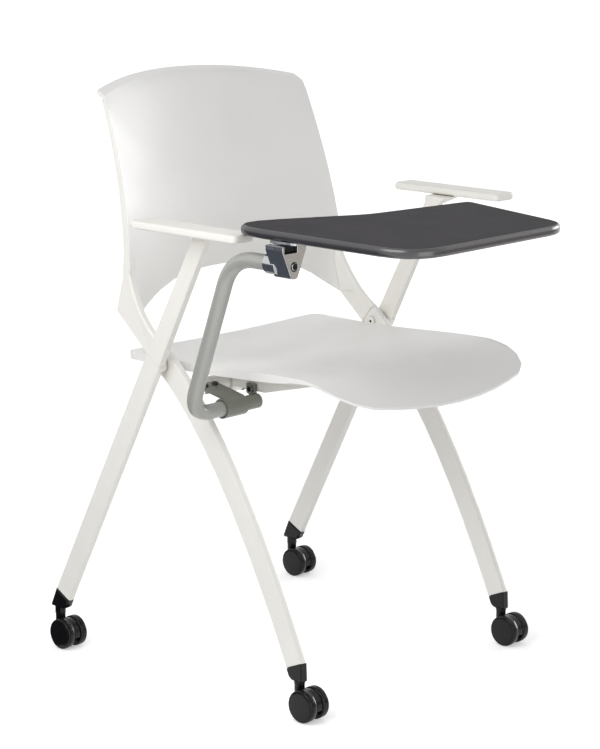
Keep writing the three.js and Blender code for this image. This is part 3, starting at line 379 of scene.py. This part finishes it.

# The arm uprights and pads. The uprights go on from the rear legs as mouldings and carry the armrest
# pads. Both are off-white glass-filled nylon; the fine spark-eroded texture of the mould, really 0.3 mm
# and drawn at 2.6 mm, leaves them satin.
# Its corners are painted a darker grey, as shade.
moulding = coated("moulded_nylon_white", "F0EEE8", "A5A299", 2.6, 0.07, (0.40, 0.52))
for side in ("left", "right"):
    rounded("arm_upright_" + side, moulding, edge_mm=0.4)
    rounded("arm_pad_" + side, moulding, edge_mm=1.0)

# The back. Two moulded side frames plug into the front legs and carry the curved back shell, a thin
# polypropylene moulding with a rolled lip along its top. Its face is cooler and smoother than the frames,
# with a ripple that is really about 1 mm wide and is drawn at 3.4 mm.
# Its corners are painted a darker grey, as shade.
shell_plastic = coated("moulded_polypropylene_white", "EFEEEC", "8C8B89", 3.4, 0.05, (0.36, 0.46))
for side in ("left", "right"):
    rounded("back_frame_" + side, moulding, edge_mm=1.2)
rounded("back_shell", shell_plastic, edge_mm=1.2)

# The seat. One thin polypropylene shell, turned down along its sides, with a thin lip in front, on two
# black hinge blocks that turn on a steel tube; steel supports with rubber bumpers carry it.

# Moulded rubber: black and dull, paler in its corners; its 0.5 mm grain is drawn at 2 mm.
rubber = coated("moulded_rubber_black", "131314", "2A2A2A", 2.0, 0.08, (0.62, 0.78), shine=0.3)
rounded("seat_shell", shell_plastic, edge_mm=1.2)
rounded("seat_pivot_tube", powder_coat, edge_mm=0.4)
for side in ("left", "right"):
    rounded("seat_hinge_" + side, nylon, edge_mm=0.6)
    rounded("seat_support_" + side, powder_coat, edge_mm=0.5)
    rounded("seat_bumper_" + side, rubber, edge_mm=0.4)

# The tablet arm. A bent round steel tube turns in a die-cast holder under the seat, which is screwed to the
# seat's tube and to a support.

# Silver-grey powder coat: metal flake in it, really 0.05 mm and drawn at 1.2 mm, gives it a faint glitter.
# Its orange peel, really about 1.5 mm, is drawn at 3 mm.
flake_mm, peel_mm = 1.2, 3.0
tube_coat, tree = new_material("silver_grey_powder_coat")
place = add_node(tree, "ShaderNodeTexCoord").outputs["Object"]
flake = add_node(tree, "ShaderNodeTexNoise", links={"Vector": place}, values={
    "Scale": 1000 / flake_mm, "Detail": 2.0}).outputs[0]
peel = add_node(tree, "ShaderNodeTexNoise", links={"Vector": place}, values={
    "Scale": 1000 / peel_mm, "Detail": 1.5}).outputs[0]
flaked = add_node(tree, "ShaderNodeMapRange", links={"Value": flake}, values={"From Min": 0.3, "From Max": 0.7})
tone = add_node(tree, "ShaderNodeMix", data_type="RGBA", links={0: flaked.outputs[0]}, values={
    6: linear("9FA09B"), 7: linear("ABACA7")})
# Its corners are painted a darker grey, as shade, by how closed in they are.
corner = add_node(tree, "ShaderNodeAmbientOcclusion", values={"Distance": 0.006}, samples=6)
corner_tint_mask = add_node(tree, "ShaderNodeMapRange", links={"Value": corner.outputs["AO"]}, values={
    "From Min": 0.1, "From Max": 0.85, "To Min": 0.9, "To Max": 0.0})
colour = add_node(tree, "ShaderNodeMix", data_type="RGBA", links={0: corner_tint_mask.outputs[0], 6: tone.outputs[2]},
                  values={7: linear("6E6F6B")})
gloss = add_node(tree, "ShaderNodeMapRange", links={"Value": flake}, values={"To Min": 0.25, "To Max": 0.33})
bump = add_node(tree, "ShaderNodeBump", links={"Height": peel}, values={"Strength": 0.35, "Distance": 0.00008})
skin = add_node(tree, "ShaderNodeBsdfPrincipled", values={"Metallic": 0.15}, links={
    "Base Color": colour.outputs[2], "Roughness": gloss.outputs[0], "Normal": bump.outputs[0]})
add_node(tree, "ShaderNodeOutputMaterial", links={"Surface": skin.outputs[0]})

# The tube is swept anew, so that its bends are round. Its centre line runs out of the holder, up beside the
# seat and forward under the tablet.
tube_radius = 0.0112
bore_radius = tube_radius - 0.0018
bend_reach = 0.044
upper_run = 0.093
tube_low, tube_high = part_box("tablet_arm_tube")
middle_x = tube_low.x + tube_radius
run = [Vector((tube_high.x, tube_high.y - tube_radius, tube_low.z + tube_radius)),
       Vector((middle_x, tube_high.y - tube_radius, tube_low.z + tube_radius)),
       Vector((middle_x, tube_low.y + upper_run, tube_high.z - tube_radius)),
       Vector((middle_x, tube_low.y, tube_high.z - tube_radius))]
bend_steps = 16
line = [run[0]]
for before, bend, after in zip(run, run[1:], run[2:]):
    start = bend + (before - bend).normalized() * bend_reach
    stop = bend + (after - bend).normalized() * bend_reach
    for step in range(bend_steps + 1):
        t = step / bend_steps
        line.append(start * (1 - t) ** 2 + bend * 2 * t * (1 - t) + stop * t ** 2)
line.append(run[-1])
ring_steps = 40
turns = [2 * pi * turn / ring_steps for turn in range(ring_steps)]
work = bmesh.new()
rings = []
aside = Vector((0, 1, 0))
for i, at in enumerate(line):
    way = (line[min(i + 1, len(line) - 1)] - line[max(i - 1, 0)]).normalized()
    aside = (aside - way * aside.dot(way)).normalized()
    up = way.cross(aside)
    rings.append([[work.verts.new(at + radius * (aside * cos(turn) + up * sin(turn))) for turn in turns]
                  for radius in (tube_radius, bore_radius)])
for wall in (0, 1):
    for ring, following in zip(rings, rings[1:]):
        for turn in range(ring_steps):
            work.faces.new([ring[wall][turn], ring[wall][(turn + 1) % ring_steps],
                            following[wall][(turn + 1) % ring_steps], following[wall][turn]])
for ring in (rings[0], rings[-1]):
    for turn in range(ring_steps):
        work.faces.new([ring[0][turn], ring[0][(turn + 1) % ring_steps],
                        ring[1][(turn + 1) % ring_steps], ring[1][turn]])
bmesh.ops.recalc_face_normals(work, faces=work.faces)
smooth(work)
add_piece(work, "tablet_arm_tube_piece", tube_coat, bodies["tablet_arm_tube"],
          ["tablet_arm_tube"])

# The holder is a die casting under thick grey paint, which rounds it off and shines; its orange peel is
# drawn at 3.6 mm. Black-passivated screws hold its plate, dark and satin, and a zinc-plated one its ear.
# Its corners are painted a darker green-grey, as shade.
holder_paint = coated("painted_casting_grey", "77796F", "45473F", 3.6, 0.12, (0.20, 0.30))
rounded("tablet_arm_end_plug", zinc, edge_mm=0.3)
rounded("tablet_arm_holder", holder_paint, edge_mm=0.8)
black_zinc = coated("black_zinc_steel", "1E1E20", "303032", 1.8, 0.04, (0.30, 0.42))
for node in ("tablet_holder_screw_1", "tablet_holder_screw_2"):
    driven(node, black_zinc, 4.0, 1.8)
driven("tablet_lug_screw", zinc, 4.0, 1.8)

# The tablet bracket. A zinc die casting on the end of the tube carries the tablet and turns with it on a
# plated screw; a rubber block in its notch stops the tablet.

# Tumbled and polished zinc: bright, with shallow waves 14 mm wide where the metal was worked, and painted
# shade, nearly black, in its corners. The tumbling marks are really 0.3 mm wide and are drawn at 1.6 mm.
wave_mm, mark_mm = 14.0, 1.6
polished, tree = new_material("polished_die_casting")
place = add_node(tree, "ShaderNodeTexCoord").outputs["Object"]
wave = add_node(tree, "ShaderNodeTexNoise", links={"Vector": place}, values={
    "Scale": 1000 / wave_mm, "Detail": 1.0}).outputs[0]
narrow = add_node(tree, "ShaderNodeMapping", links={"Vector": place}, values={"Scale": (1, 6, 1)})
mark = add_node(tree, "ShaderNodeTexNoise", links={"Vector": narrow.outputs[0]}, values={
    "Scale": 1000 / mark_mm, "Detail": 3.0}).outputs[0]
marked = add_node(tree, "ShaderNodeMapRange", links={"Value": mark}, values={"From Min": 0.3, "From Max": 0.7})
tone = add_node(tree, "ShaderNodeMix", data_type="RGBA", links={0: marked.outputs[0]}, values={
    6: linear("BDBFC2"), 7: linear("D6D7D8")})
# The corners are painted nearly black, as shade, by how closed in they are.
corner = add_node(tree, "ShaderNodeAmbientOcclusion", values={"Distance": 0.003}, samples=6)
hollow_shade = add_node(tree, "ShaderNodeMapRange", links={"Value": corner.outputs["AO"]}, values={
    "From Min": 0.2, "From Max": 0.8, "To Min": 1.0, "To Max": 0.0})
colour = add_node(tree, "ShaderNodeMix", data_type="RGBA", links={0: hollow_shade.outputs[0], 6: tone.outputs[2]},
                  values={7: linear("2B2C2E")})
gloss = add_node(tree, "ShaderNodeMapRange", links={"Value": mark}, values={
    "From Min": 0.3, "From Max": 0.7, "To Min": 0.13, "To Max": 0.22})
bump = add_node(tree, "ShaderNodeBump", links={"Height": wave}, values={"Strength": 0.9, "Distance": 0.0006})
skin = add_node(tree, "ShaderNodeBsdfPrincipled", values={"Metallic": 1.0}, links={
    "Base Color": colour.outputs[2], "Roughness": gloss.outputs[0], "Normal": bump.outputs[0]})
add_node(tree, "ShaderNodeOutputMaterial", links={"Surface": skin.outputs[0]})
rounded("tablet_bracket", polished, edge_mm=0.8)
driven("tablet_pivot_screw", zinc, 3.2, 2.5, edge_mm=0.8)
rounded("tablet_stop_block", rubber, edge_mm=0.5)
rounded("tablet_mount_plate", zinc, edge_mm=0.4)

# The writing tablet. A hollow charcoal ABS moulding with a rounded rim, closed below by a thin cover. Its
# top has a close leather-like grain that scatters the light; the rim is smooth and catches it. The grain's
# cells are really 0.8 mm wide and are drawn at 2.2 mm.
leather_mm, cloud_mm = 2.2, 60
charcoal, tree = new_material("grained_abs_charcoal")
where = add_node(tree, "ShaderNodeTexCoord")
cloud = add_node(tree, "ShaderNodeTexNoise", links={"Vector": where.outputs["Object"]}, values={
    "Scale": 1000 / cloud_mm, "Detail": 2.0}).outputs[0]
leather = add_node(tree, "ShaderNodeTexVoronoi", feature="F1", links={"Vector": where.outputs["Object"]}, values={
    "Scale": 1000 / leather_mm, "Randomness": 1.0})
facing = add_node(tree, "ShaderNodeSeparateXYZ", links={0: where.outputs["Normal"]})
flat_top = add_node(tree, "ShaderNodeMapRange", links={"Value": facing.outputs["Z"]}, values={
    "From Min": 0.9, "From Max": 0.99}).outputs[0]
clouded = add_node(tree, "ShaderNodeMapRange", links={"Value": cloud}, values={"From Min": 0.35, "From Max": 0.65})
colour = add_node(tree, "ShaderNodeMix", data_type="RGBA", links={0: clouded.outputs[0]}, values={
    6: linear("2D2B2E"), 7: linear("322F33")})
gloss = add_node(tree, "ShaderNodeMapRange", links={"Value": flat_top}, values={"To Min": 0.26, "To Max": 0.60})
depth = add_node(tree, "ShaderNodeMapRange", links={"Value": flat_top}, values={"To Min": 0.1, "To Max": 0.5})
shine = add_node(tree, "ShaderNodeMapRange", links={"Value": flat_top}, values={"To Min": 1.0, "To Max": 0.06})
bump = add_node(tree, "ShaderNodeBump", values={"Distance": 0.0001}, links={
    "Strength": depth.outputs[0], "Height": leather.outputs["Distance"]})
skin = add_node(tree, "ShaderNodeBsdfPrincipled", links={
    "Base Color": colour.outputs[2], "Roughness": gloss.outputs[0], "Normal": bump.outputs[0],
    "Specular IOR Level": shine.outputs[0]})
add_node(tree, "ShaderNodeOutputMaterial", links={"Surface": skin.outputs[0]})
rounded("tablet_top", charcoal, edge_mm=1.0)
rounded("tablet_underside", charcoal, edge_mm=0.5)
